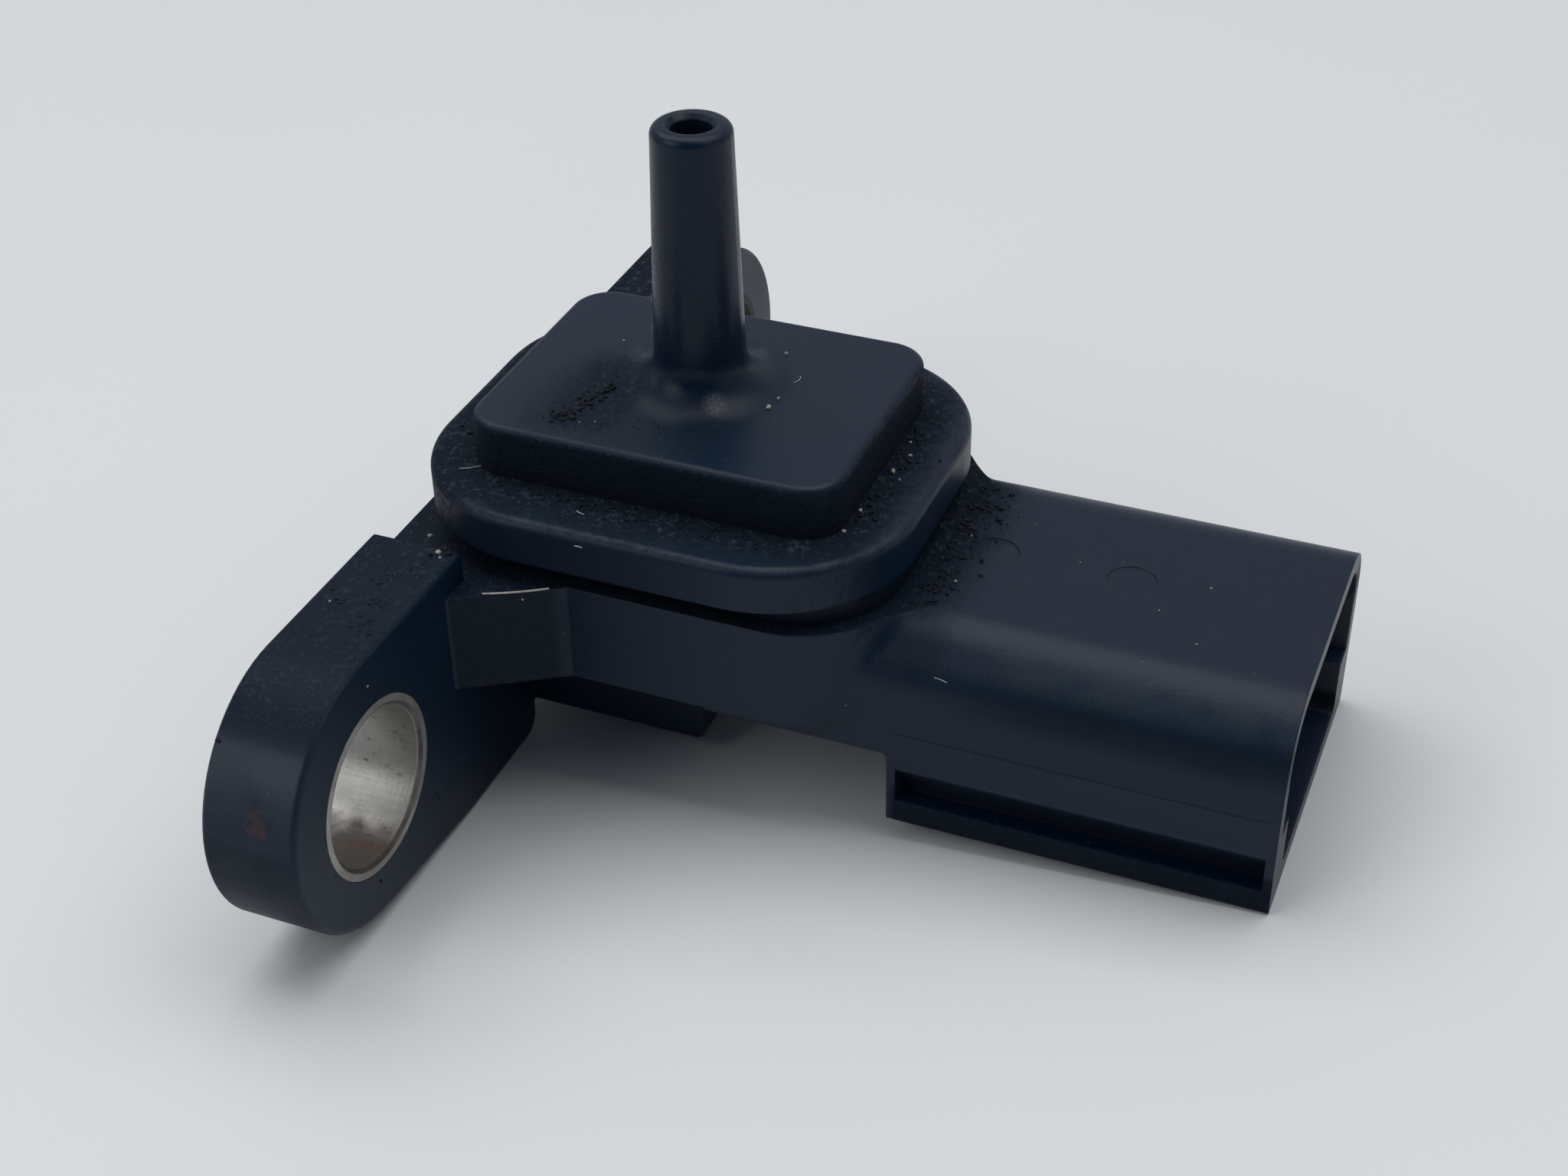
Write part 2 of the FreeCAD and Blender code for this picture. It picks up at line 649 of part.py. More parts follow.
def pressure_cap():
    skirt = rounded_prism(
        CAP_CENTRE_X, CAP_LENGTH, CAP_WIDTH, CAP_CORNER_RADIUS, SKIRT_BOTTOM_Z, LEDGE_Z
    )
    skirt = fillet(skirt, SKIRT_EDGE_RADIUS, lambda edge: lies_at(edge, 2, LEDGE_Z))
    tongue = body_prism(TONGUE_INSET, GROOVE_FLOOR_Z + TONGUE_END_CLEARANCE, SKIRT_BOTTOM_Z)
    tongue = tongue.cut(body_prism(TONGUE_INSET + TONGUE_WIDTH, GROOVE_FLOOR_Z, SKIRT_BOTTOM_Z))
    seat = body_prism(GROOVE_INSET + GROOVE_WIDTH, BODY_TOP_Z, SKIRT_BOTTOM_Z)
    solid = fused([skirt, tongue, seat, plateau(), nipple()])
    return solid.cut(cap_hollow()).cut(nipple_bore()).removeSplitter()


def adhesive_seal(cap):
    """The bead that fills the groove round the tongue and shows in the gap under the skirt."""
    bead = body_prism(GROOVE_INSET, GROOVE_FLOOR_Z, SKIRT_BOTTOM_Z)
    bead = bead.cut(body_prism(GROOVE_INSET + GROOVE_WIDTH, GROOVE_FLOOR_Z, SKIRT_BOTTOM_Z))
    return bead.cut(cap)


# Circuit: a ceramic board with the sensing case, an amplifier and small chips
def board_layer(z0, z1):
    """The board's plan: the cavity's rounded outline drawn in, cut off short of the tails."""
    plan = body_prism(BOARD_INSET, z0, z1)
    return plan.common(box(BOARD_BACK_X, BOARD_FRONT_X, -BOARD_EDGE_Y, BOARD_EDGE_Y, z0, z1))


def circuit_board():
    return board_layer(BOARD_Z, BOARD_TOP_Z)


def board_adhesive():
    return board_layer(CAVITY_FLOOR_Z, BOARD_Z)


def sensor_case():
    case = rounded_prism(CASE_X, CASE_SIZE, CASE_SIZE, CASE_CORNER_RADIUS, BOARD_TOP_Z, CASE_TOP_Z)
    bore = Part.makeCylinder(CASE_BORE_RADIUS, CASE_BORE_DEPTH, vec(CASE_X, 0, CASE_BORE_Z))
    case = case.cut(bore)
    for piece in case_leads().Solids:
        case = case.cut(piece)
    return case


def lead(index, side):
    """One gull-wing lead that carries the case's signals to the board."""
    x = CASE_X + (index - (LEAD_COUNT - 1) / 2) * LEAD_PITCH
    root = CASE_SIZE / 2
    top = BOARD_TOP_Z + LEAD_HEIGHT
    profile = [
        (root - LEAD_ROOT_DEPTH, top),
        (root - LEAD_ROOT_DEPTH, top - LEAD_THICKNESS),
        (root + LEAD_REACH - LEAD_THICKNESS, top - LEAD_THICKNESS),
        (root + LEAD_REACH - LEAD_THICKNESS, BOARD_TOP_Z),
        (root + LEAD_REACH + LEAD_FOOT, BOARD_TOP_Z),
        (root + LEAD_REACH + LEAD_FOOT, BOARD_TOP_Z + LEAD_THICKNESS),
        (root + LEAD_REACH, BOARD_TOP_Z + LEAD_THICKNESS),
        (root + LEAD_REACH, top),
    ]
    solid = along_x(section(profile), x - LEAD_WIDTH / 2, x + LEAD_WIDTH / 2)
    return solid if side > 0 else mirrored(solid)


def case_leads():
    leads = [lead(index, side) for index in range(LEAD_COUNT) for side in (-1, 1)]
    return Part.makeCompound(leads)


def solder_toe(index, side):
    """The fillet of solder in front of one lead's foot."""
    x = CASE_X + (index - (LEAD_COUNT - 1) / 2) * LEAD_PITCH
    toe = CASE_SIZE / 2 + LEAD_REACH + LEAD_FOOT
    profile = [(toe, BOARD_TOP_Z), (toe + SOLDER_TOE, BOARD_TOP_Z), (toe, BOARD_TOP_Z + LEAD_THICKNESS)]
    solid = along_x(section(profile), x - LEAD_WIDTH / 2, x + LEAD_WIDTH / 2)
    return solid if side > 0 else mirrored(solid)


def lead_solder():
    toes = [solder_toe(index, side) for index in range(LEAD_COUNT) for side in (-1, 1)]
    return Part.makeCompound(toes)


def glass_pedestal():
    half = PEDESTAL_SIZE / 2
    return box(CASE_X - half, CASE_X + half, -half, half, CASE_BORE_Z, PEDESTAL_TOP_Z)


def sensing_die():
    half = DIE_SIZE / 2
    return box(CASE_X - half, CASE_X + half, -half, half, PEDESTAL_TOP_Z, DIE_TOP_Z)


def arched_wire(start, end, rise, radius):
    """A round wire that arches from one level pad to another."""
    top = (start + end) * 0.5
    top.z = max(start.z, end.z) + rise
    path = Part.Wire([Part.Arc(start, top, end).toShape()])
    tangent = path.Edges[0].tangentAt(path.Edges[0].FirstParameter)
    circle = Part.Wire([Part.makeCircle(radius, start, tangent)])
    return path.makePipeShell([circle], True, False)


def die_wires():
    """The fine wires from the die's face to the ledge of the case's bore."""
    wires = []
    for index in range(DIE_WIRE_COUNT):
        side = 1 if index % 2 else -1
        x = CASE_X + (0.5 - index // 2) * 2 * DIE_WIRE_SPREAD
        start = vec(x, side * (DIE_SIZE / 2 - DIE_PAD_INSET), DIE_TOP_Z)
        reach = math.sqrt(CASE_BORE_RADIUS**2 - DIE_WIRE_SPREAD**2) - 3 * DIE_WIRE_RADIUS
        end = vec(x, side * reach, CASE_BORE_Z)
        wires.append((start, end))
    return wires


def wire_solids():
    solids = []
    for start, end in die_wires():
        wire = arched_wire(start, end, DIE_WIRE_RISE, DIE_WIRE_RADIUS)
        keep = Part.makeCylinder(CASE_BORE_RADIUS, CASE_BORE_DEPTH, vec(CASE_X, 0, CASE_BORE_Z))
        solids.append(wire.common(keep).cut(sensing_die()).Solids[0])
    return solids


def protective_gel(wires):
    height = DIE_TOP_Z + GEL_COVER - CASE_BORE_Z
    fill = Part.makeCylinder(CASE_BORE_RADIUS, height, vec(CASE_X, 0, CASE_BORE_Z))
    fill = fill.cut(glass_pedestal()).cut(sensing_die())
    for wire in wires:
        fill = fill.cut(wire)
    return fill


def terminal_wires():
    """The thick wires from the terminals' tails to the board."""
    solids = []
    for index in range(TERMINAL_COUNT):
        y = (index - (TERMINAL_COUNT - 1) / 2) * TERMINAL_PITCH
        tail_top = CAVITY_FLOOR_Z + TERMINAL_THICKNESS
        start = vec(CAVITY_FRONT_X - TAIL_REACH / 2, y, tail_top)
        end = vec(BOARD_FRONT_X - TAIL_WIRE_PAD_INSET, y, BOARD_TOP_Z)
        wire = arched_wire(start, end, TAIL_WIRE_RISE, TAIL_WIRE_RADIUS)
        wire = wire.cut(circuit_board()).cut(terminal(index))
        solids.append(max(wire.Solids, key=lambda solid: solid.Volume))
    return solids


def capacitor(place, side):
    """A chip capacitor beside the amplifier: a ceramic block between two larger metal ends."""
    x0 = AMPLIFIER_X - CAPACITOR_LENGTH / 2
    x1 = x0 + CAPACITOR_LENGTH
    step_y = CAPACITOR_WIDTH + CAPACITOR_GAP
    y = side * (COATING_WIDTH / 2 + CAPACITOR_GAP + CAPACITOR_WIDTH / 2 + place * step_y)
    step = CAPACITOR_END_STEP
    half = CAPACITOR_WIDTH / 2
    top = BOARD_TOP_Z + CAPACITOR_HEIGHT
    block = box(x0, x1, y - half + step, y + half - step, BOARD_TOP_Z + step, top - step)
    back_end = box(x0, x0 + CAPACITOR_END, y - half, y + half, BOARD_TOP_Z, top)
    front_end = box(x1 - CAPACITOR_END, x1, y - half, y + half, BOARD_TOP_Z, top)
    return fused([block, back_end, front_end])


def amplifier_chip():
    x0 = AMPLIFIER_X - AMPLIFIER_LENGTH / 2
    half = AMPLIFIER_WIDTH / 2
    return box(x0, x0 + AMPLIFIER_LENGTH, -half, half, BOARD_TOP_Z, BOARD_TOP_Z + AMPLIFIER_HEIGHT)


def chip_coating():
    """The drop of resin that covers the amplifier chip."""
    top = BOARD_TOP_Z + AMPLIFIER_HEIGHT + COATING_COVER
    drop = rounded_prism(AMPLIFIER_X, COATING_LENGTH, COATING_WIDTH, COATING_MARGIN, BOARD_TOP_Z, top)
    drop = fillet(drop, COATING_ROUNDING, lambda edge: lies_at(edge, 2, top))
    return drop.cut(amplifier_chip())


def export(name, shape):
    shape.exportStep(os.path.join("parts", name + ".step"))


def main():
    os.makedirs("parts", exist_ok=True)
    cap = pressure_cap()
    wires = wire_solids()
    export("housing", housing())
    export("pressure_cap", cap)
    export("adhesive_seal", adhesive_seal(cap))
    export("bush_near", bush(-1))
    export("bush_far", bush(1))
    for name, piece in zip(("terminal_supply", "terminal_signal", "terminal_ground"), terminals()):
        export(name, piece)
    export("circuit_board", circuit_board())
    export("board_adhesive", board_adhesive())
    export("sensor_case", sensor_case())
    export("case_leads", case_leads())
    export("lead_solder", lead_solder())
    export("glass_pedestal", glass_pedestal())
    export("sensing_die", sensing_die())
    export("die_wires", Part.makeCompound(wires))
    export("protective_gel", protective_gel(wires))
    export("terminal_wires", Part.makeCompound(terminal_wires()))
    export("amplifier_chip", amplifier_chip())
    export("chip_coating", chip_coating())
    export("capacitor_supply", capacitor(0, -1))
    export("capacitor_output", capacitor(0, 1))
    export("capacitor_filter", capacitor(1, 1))


main()
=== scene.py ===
import math
import random

import bmesh
import bpy
from mathutils import Matrix, Vector


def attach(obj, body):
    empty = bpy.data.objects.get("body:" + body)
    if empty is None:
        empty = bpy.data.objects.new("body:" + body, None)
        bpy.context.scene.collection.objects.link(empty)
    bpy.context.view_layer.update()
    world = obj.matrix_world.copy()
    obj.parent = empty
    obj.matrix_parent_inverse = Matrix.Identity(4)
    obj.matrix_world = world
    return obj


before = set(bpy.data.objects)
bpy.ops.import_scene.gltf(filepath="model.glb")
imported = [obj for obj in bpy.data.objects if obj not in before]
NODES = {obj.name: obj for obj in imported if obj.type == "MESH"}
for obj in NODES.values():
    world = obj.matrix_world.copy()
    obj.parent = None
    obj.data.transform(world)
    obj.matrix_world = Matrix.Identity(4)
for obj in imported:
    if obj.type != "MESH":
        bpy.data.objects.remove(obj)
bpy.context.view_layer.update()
MM = 0.001

# Places and sizes of the part in millimetres. X runs out of the connector and Z up the nipple.
HOLE_Y = 21.1
BUSH_BORE_RADIUS = 4.0
PLATE_FRONT_X = 5.0
EAR_TOP_Z = 7.25
GUSSET_Y = 12.5
HOUSING_TOP_Z = 5.7
CAP_CENTRE = (12.96, 0.0)
SKIRT_FRONT_X = 25.76
LEDGE_Z = 9.37
LEDGE_HALF = (12.2, 10.3)
LEDGE_CORNER = 7.0
PLATEAU_Z = 12.17
PLATEAU_HALF = (9.8, 7.5)
PLATEAU_CORNER = 2.1
NIPPLE_FOOT_RADIUS = 4.4
SHROUD_START_X = 26.2
MOUTH_X = 45.4
MOUTH_FOOT_Z = -5.4
PARTING_Z = 0.30


class Value:
    """A shader socket that Python arithmetic extends with Math nodes."""

    def __init__(self, shader, socket):
        self.shader = shader
        self.socket = socket

    def math(self, operation, *others):
        values = dict(enumerate((self,) + others))
        return self.shader.node("ShaderNodeMath", {"operation": operation}, values)

    def __add__(self, other):
        return self.math("ADD", other)

    def __sub__(self, other):
        return self.math("SUBTRACT", other)

    def __mul__(self, other):
        return self.math("MULTIPLY", other)

    def __pow__(self, other):
        return self.math("POWER", other)

    def __abs__(self):
        return self.math("ABSOLUTE")

    __radd__ = __add__
    __rmul__ = __mul__

    def __rsub__(self, other):
        return self.shader.node("ShaderNodeMath", {"operation": "SUBTRACT"}, {0: other, 1: self})

    def larger(self, *others):
        """The largest of this mask and the others."""
        largest = self
        for other in others:
            largest = largest.math("MAXIMUM", other)
        return largest

    def ramp(self, low, high, start=0.0, end=1.0):
        """Goes smoothly from start to end while this value goes from low to high."""
        return self.shader.node(
            "ShaderNodeMapRange",
            {"interpolation_type": "SMOOTHSTEP"},
            {"Value": self, "From Min": low, "From Max": high, "To Min": start, "To Max": end},
            "Result",
        )

    def near(self, middle, none, full):
        """A band round a middle: 1 within the full distance of it, fading to 0 at the other one."""
        return abs(self - middle).ramp(none, full)


class Shader:
    """A material whose nodes are made one by one, each by the same method."""

    def __init__(self, name):
        self.material = bpy.data.materials.new(name)
        self.material.use_nodes = True
        self.tree = self.material.node_tree
        self.tree.nodes.clear()
        self.output = self.tree.nodes.new("ShaderNodeOutputMaterial")
        self.place = self.node("ShaderNodeTexCoord", {}, {}, "Object")

    def node(self, kind, settings, values, result=0):
        node = self.tree.nodes.new(kind)
        for name, value in settings.items():
            setattr(node, name, value)
        for name, value in values.items():
            socket = node.inputs[name]
            if isinstance(value, Value):
                self.tree.links.new(value.socket, socket)
            elif isinstance(value, tuple) and len(value) == 3 and socket.type == "RGBA":
                socket.default_value = (*value, 1.0)
            else:
                socket.default_value = value
        return Value(self, node.outputs[result])

    def vector(self, operation, first, second=None, result="Vector"):
        values = {0: first} if second is None else {0: first, 1: second}
        return self.node("ShaderNodeVectorMath", {"operation": operation}, values, result)

    def noise(self, size_mm, detail=3.0, roughness=0.55, place=None):
        """Fractal noise whose coarsest blobs are about this size."""
        values = {
            "Vector": place or self.place, "Scale": 1 / (size_mm * MM),
            "Detail": detail, "Roughness": roughness,
        }
        return self.node("ShaderNodeTexNoise", {}, values)

    def stretched(self, factors, turn=(0.0, 0.0, 0.0)):
        """The place, drawn out into streaks where a factor is small."""
        values = {"Vector": self.place, "Rotation": turn, "Scale": factors}
        return self.node("ShaderNodeMapping", {}, values)

    def dots(self, spacing_mm, radius_mm):
        """Scattered round dots, one in each cell."""
        values = {"Vector": self.place, "Scale": 1 / (spacing_mm * MM)}
        far = self.node("ShaderNodeTexVoronoi", {}, values, "Distance")
        return far.ramp(radius_mm / spacing_mm, 0.6 * radius_mm / spacing_mm)

    def axis(self, name):
        """One coordinate of the place, in millimetres."""
        return self.node("ShaderNodeSeparateXYZ", {}, {"Vector": self.place}, name) * (1 / MM)

    def facing(self, name):
        """One part of the direction in which the surface faces."""
        normal = self.node("ShaderNodeNewGeometry", {}, {}, "Normal")
        return self.node("ShaderNodeSeparateXYZ", {}, {"Vector": normal}, name)

    def off_box(self, centre, half, corner=0.0):
        """How far the place lies outside a box with round corners, in millimetres."""
        offset = self.vector("SUBTRACT", self.place, tuple(v * MM for v in centre))
        core = tuple((v - corner) * MM for v in half)
        past = self.vector("SUBTRACT", self.vector("ABSOLUTE", offset), core)
        outside = self.vector("MAXIMUM", past, (0.0, 0.0, 0.0))
        return self.vector("LENGTH", outside, None, "Value") * (1 / MM) - corner

    def off_point(self, point):
        """How far the place lies from a point, in millimetres."""
        return self.vector("DISTANCE", self.place, tuple(v * MM for v in point), "Value") * (1 / MM)

    def mix(self, share, first, second):
        """A colour between two colours."""
        return self.node("ShaderNodeMix", {"data_type": "RGBA"}, {0: share, 6: first, 7: second}, 2)

    def bump(self, height, distance_mm, strength=1.0, normal=None):
        values = {"Height": height, "Distance": distance_mm * MM, "Strength": strength}
        if normal is not None:
            values["Normal"] = normal
        return self.node("ShaderNodeBump", {}, values)

    def coat(self, **sockets):
        values = {name.replace("_", " "): value for name, value in sockets.items()}
        return self.node("ShaderNodeBsdfPrincipled", {}, values)

    def finish(self, surface=None, **sockets):
        surface = surface or self.coat(**sockets)
        self.tree.links.new(surface.socket, self.output.inputs["Surface"])
        return self.material


PLASTIC = (0.0018, 0.0112, 0.0295)
# Paler plastic for wear, scuffs and scratches, also laid as painted sheen and painted edge highlights
PLASTIC_WEAR_AND_SHEEN = (0.020, 0.032, 0.048)
# Pale grey for scuffs, also laid as painted highlights and painted light
PLASTIC_SCUFF_AND_HIGHLIGHT = (0.20, 0.20, 0.21)
PLASTIC_ROUGHNESS = 0.33
PLASTIC_SHINE = 0.28
EDGE_SOFTNESS = 0.16
# Colour of the dark dusty coat: real dust in places, painted shade in others
DUST_AND_SHADE_BLACK = (0.0058, 0.0118, 0.0215)
DUST_GREY = (0.034, 0.050, 0.068)
DUST_PALE = (0.24, 0.23, 0.21)
DUST_ROUGHNESS = 0.8
DUST_SHINE = 0.08
RUST = (0.085, 0.034, 0.022)


class MouldedPlastic(Shader):
    """Satin black moulding, with softened edges, fine grain, what has settled on it, and painted shade,
    sheen and edge highlights.
    """

    def __init__(self, name):
        super().__init__(name)
        self.x, self.y, self.z = (self.axis(letter) for letter in "XYZ")
        self.up = self.facing("Z")
        self.rounded = self.node("ShaderNodeBevel", {"samples": 4}, {"Radius": EDGE_SOFTNESS * MM})
        flat = self.node("ShaderNodeNewGeometry", {}, {}, "Normal")
        self.edge_wear_and_glint = self.vector("DOT_PRODUCT", self.rounded, flat, "Value").ramp(0.985, 0.90)
        self.cloud = self.noise(2.4, 4.0, 0.6)
        self.grit = self.noise(0.34, 3.0, 0.75)
        self.grain = self.noise(0.15, 2.0, 0.7)
        self.scuff = self.noise(1.2, 5.0, 0.7).ramp(0.58, 0.74)
        hairlines = self.noise(0.22, 3.0, 0.6, self.stretched((0.06, 1.0, 1.0), (0.0, 0.0, 0.5)))
        self.scratches = hairlines.ramp(0.66, 0.76) * self.noise(4.0, 2.0).ramp(0.50, 0.62)

    def ragged(self, distance, near, far):
        """1 within the near distance, 0 past the far one, with a ragged, grainy border."""
        rough = distance + (self.grit - 0.5) * 2.4 + (self.cloud - 0.5) * 1.4
        return rough.ramp(far, near)

    def settle(self, dust_and_shade, worn, bright=None, rust=None, polish=0.0):
        """The whole finish, under black dust and painted shade and, where given, paler marks and painted
        highlights.
        """
        # The worn share is real wear in places and painted sheen in others
        colour = self.mix((self.scuff * 0.25).larger(worn), PLASTIC, PLASTIC_WEAR_AND_SHEEN)
        # Pale along the edges: partly wear, partly a painted edge highlight
        colour = self.mix(self.edge_wear_and_glint * self.cloud.ramp(0.35, 0.6) * 0.5, colour, PLASTIC_WEAR_AND_SHEEN)
        colour = self.mix(self.scratches * 0.5, colour, PLASTIC_WEAR_AND_SHEEN)
        if rust is not None:
            colour = self.mix(rust, colour, RUST)
        # Pale scuffs, painted highlights and painted light, where given
        if bright is not None:
            colour = self.mix(bright, colour, PLASTIC_SCUFF_AND_HIGHLIGHT)
        specks = self.dots(1.15, 0.055) * self.noise(4.0, 2.0).ramp(0.50, 0.58)
        colour = self.mix(specks, colour, DUST_PALE)
        roughness = PLASTIC_ROUGHNESS + self.cloud * 0.10 + self.scuff * 0.08 + specks * 0.3
        grained = self.bump(self.grain * 0.40 + specks * 1.5, 0.03, 0.9, self.rounded)
        clean = self.coat(
            Base_Color=colour, Roughness=roughness - polish * 0.13, Normal=grained,
            Specular_IOR_Level=PLASTIC_SHINE,
        )
        # The dark coat that this mask lays is real dust in places and painted shade in others
        crumbs = self.grit.ramp(0.50, 0.62) * dust_and_shade.ramp(0.50, 0.95)
        dust_and_shade_colour = self.mix(crumbs * self.up.ramp(0.0, 0.7, 0.12, 0.72), DUST_AND_SHADE_BLACK, DUST_GREY)
        heaped = self.bump(self.grit * 4.0 + crumbs * 2.0, 0.03, 0.9, self.rounded)
        dust_and_shade_coat = self.coat(
            Base_Color=dust_and_shade_colour, Roughness=DUST_ROUGHNESS, Normal=heaped, Specular_IOR_Level=DUST_SHINE
        )
        return self.finish(self.node("ShaderNodeMixShader", {}, {0: dust_and_shade, 1: clean, 2: dust_and_shade_coat}))


# Patches of dust: the middle, the half sizes and the corner radius of each
PLATEAU_PATCH = ((8.9, -2.8, PLATEAU_Z), (0.9, 2.4, 9.0), 0.4)
PLATEAU_FILM = ((10.6, -4.6, PLATEAU_Z), (3.6, 1.6, 9.0), 0.5)
GUSSET_PATCH = ((PLATE_FRONT_X, 0.0, HOUSING_TOP_Z), (4.6, 14.0, 9.0))
NECK_PATCH = ((26.6, 0.0, HOUSING_TOP_Z), (1.2, 8.0, 2.0), 0.5)

# Where the housing is dusty, rubbed or rusty, and where shade and sheen are painted on it
EAR_FILM_Y = 15.8
BODY_WALL_X = 9.5
BODY_WALL_Z = 3.6
RIM_MIDDLE_Z = 3.6
RIM_SHEEN_Z = 3.9
SHOULDER_Y = 7.7
SHOULDER_Z = 4.6
UNDER_SHOULDER_Z = 3.1
RUST_SPOT = (3.0, -27.6, 2.4)

# Pale scuffs with painted highlights at the foot of the nipple: place, radius and strength
SCUFFS_AND_HIGHLIGHTS = (
    ((14.74, -2.41, 12.6), 0.85, 0.75),
    ((15.30, 0.30, 12.6), 0.60, 0.25),
    ((11.49, -1.99, 12.9), 0.60, 0.30),
    ((8.87, 1.41, 12.5), 1.00, 0.25),
    ((14.60, 3.70, 12.5), 1.00, 0.25),
)


def cap_dust_and_shade(s):
    """Black dust packed in the corner round the plateau and a thin film by the nipple, with dust and
    painted shade in a ring at the nipple's foot and on the skirt's side towards its ear end.
    """
    on_plateau = s.z.ramp(PLATEAU_Z - 0.25, PLATEAU_Z - 0.02)
    beside = s.off_box((*CAP_CENTRE, 0.0), (*PLATEAU_HALF, 100.0), PLATEAU_CORNER).larger(0.0)
    above = (s.z - LEDGE_Z).larger(0.0) * 0.62
    spread = s.x.ramp(23.0, 13.0, 0.0, 0.9)
    packed = s.ragged((beside * beside + above * above) ** 0.5 - spread, 1.0, 2.9) * (1 - on_plateau)
    patch = s.ragged(s.off_box(*PLATEAU_PATCH), 0.2, 2.8) * on_plateau
    film = s.ragged(s.off_box(*PLATEAU_FILM), 0.0, 2.6) * on_plateau
    from_axis = s.off_point((*CAP_CENTRE, PLATEAU_Z))
    # Dust and painted shade in a ring at the nipple's foot
    ring = s.ragged(from_axis, NIPPLE_FOOT_RADIUS - 0.6, NIPPLE_FOOT_RADIUS + 0.8) * on_plateau
    # Dust and painted shade: the skirt's side darker towards its ear end
    skirt_side_dust_and_shade = s.z.ramp(LEDGE_Z, LEDGE_Z - 0.5) * s.x.ramp(21.0, 13.0)
    return packed.larger(patch * 0.8, film * 0.45, ring * 0.25, skirt_side_dust_and_shade * 0.5)


def cap_plastic():
    """The cap: dusty round its plateau, pale scuffs with painted highlights at the nipple's foot, wear
    with a painted highlight along its rim, and painted shade over the nipple.
    """
    s = MouldedPlastic("cap_plastic")
    nipple = s.z.ramp(PLATEAU_Z + 0.4, PLATEAU_Z + 1.2)
    fibrous = s.noise(0.10, 3.0, 0.7, s.stretched((1.0, 0.25, 1.0), (0.0, 0.0, 0.6))).ramp(0.40, 0.66)
    # Pale scuffs that are also painted highlights on the nipple's flare
    spots = [
        s.off_point(place).ramp(radius, radius * 0.1) * (0.25 + fibrous * 0.75) * strength
        for place, radius, strength in SCUFFS_AND_HIGHLIGHTS
    ]
    # Wear along the skirt's rounded top edge, partly a painted highlight
    rim = s.off_box((*CAP_CENTRE, LEDGE_Z), (*LEDGE_HALF, 9.0), LEDGE_CORNER).ramp(0.0, 0.5)
    worn = rim * s.up.ramp(0.2, 0.8) * s.cloud.ramp(0.40, 0.65) * 0.5
    # Painted shade: a quarter share of the dark coat over the whole nipple
    dust_and_shade = cap_dust_and_shade(s).larger(nipple * 0.25)
    return s.settle(dust_and_shade, worn, bright=spots[0].larger(*spots[1:]), polish=nipple)


def housing_top_dust_and_shade(s, flat_top):
    """Dust on the faces that look up: by the cap's skirt, on the gussets and on the ears, with painted
    shade over the far ear's top.
    """
    far_side = s.y.ramp(-6.5, 3.0, 0.75, 1.0)
    top_height = s.z.ramp(HOUSING_TOP_Z - 0.5, HOUSING_TOP_Z - 0.1)
    by_skirt = s.ragged((s.x - SKIRT_FRONT_X).larger(0.0), 0.8, 3.6) * flat_top * top_height
    gusset = s.ragged(s.off_box(*GUSSET_PATCH), 0.3, 2.0) * flat_top
    plate = s.x.ramp(PLATE_FRONT_X + 0.2, PLATE_FRONT_X - 0.1)
    from_ear_middle = abs(abs(s.y) - EAR_FILM_Y)
    ear_film = s.ragged(from_ear_middle * 0.6, 0.2, 2.2) * flat_top * plate
    pitted = s.noise(2.2, 2.0).ramp(0.44, 0.54) * from_ear_middle.ramp(3.6, 2.6) * flat_top
    pits = s.dots(0.8, 0.17) * pitted * s.y.ramp(6.0, 0.0, 0.15, 1.0)
    # Painted shade over the far ear's top
    far_ear_shade = s.y.ramp(12.0, 15.0) * flat_top * plate * (0.35 + s.cloud * 0.4)
    neck = s.ragged(s.off_box(*NECK_PATCH), 0.0, 1.6)
    return (by_skirt * far_side).larger(gusset * 0.8, ear_film * 0.22, pits * 0.8, far_ear_shade, neck * 0.4)


def housing_side_dust_and_shade(s, flat_top, side, outer, ear_rim):
    """Dust and painted shade on the upright faces: dust on the walls and the plate's front, painted shade
    on the gussets' sides, the connector's foot, under its shoulders and on the ears' rims.
    """
    from_wall = (s.x - BODY_WALL_X).larger(0.0) + abs(s.z - BODY_WALL_Z) * 0.35
    wall = s.ragged(from_wall, 0.0, 2.0) * s.x.ramp(PLATE_FRONT_X - 0.4, PLATE_FRONT_X + 0.4)
    plate_front = s.facing("X").ramp(0.8, 0.95) * s.x.ramp(PLATE_FRONT_X + 0.2, PLATE_FRONT_X)
    spots = s.dots(1.7, 0.13) * s.noise(5.0, 2.0).ramp(0.48, 0.54) * plate_front
    gusset_reach = s.x.ramp(PLATE_FRONT_X, PLATE_FRONT_X + 0.2) * s.x.ramp(9.8, 9.4)
    # Painted shade on the gussets' side faces
    gusset = abs(s.y).near(GUSSET_Y, 2.4, 1.6) * (1 - flat_top) * gusset_reach * (0.3 + s.grit * 0.6)
    # Painted shade: the connector's sides darker towards their foot
    foot_shade = s.z.ramp(-2.8, -3.4) * side * outer * (0.7 + s.cloud * 0.4)
    # Painted shade: a darker band under the connector's shoulders, carried on as film
    under_shoulder_shade = s.z.near(UNDER_SHOULDER_Z, 1.6, 0.3) * s.x.ramp(27.0, 34.0) * (1 - flat_top)
    # Painted shade on the ears' rims above and below their middle band
    rim_shade = abs(s.z - RIM_MIDDLE_Z).ramp(1.8, 2.9) * ear_rim * (0.25 + s.cloud * 0.5)
    film = under_shoulder_shade * (0.3 + s.cloud * 0.5)
    return (wall * 0.35).larger(spots * 0.8, gusset, foot_shade, film, rim_shade)


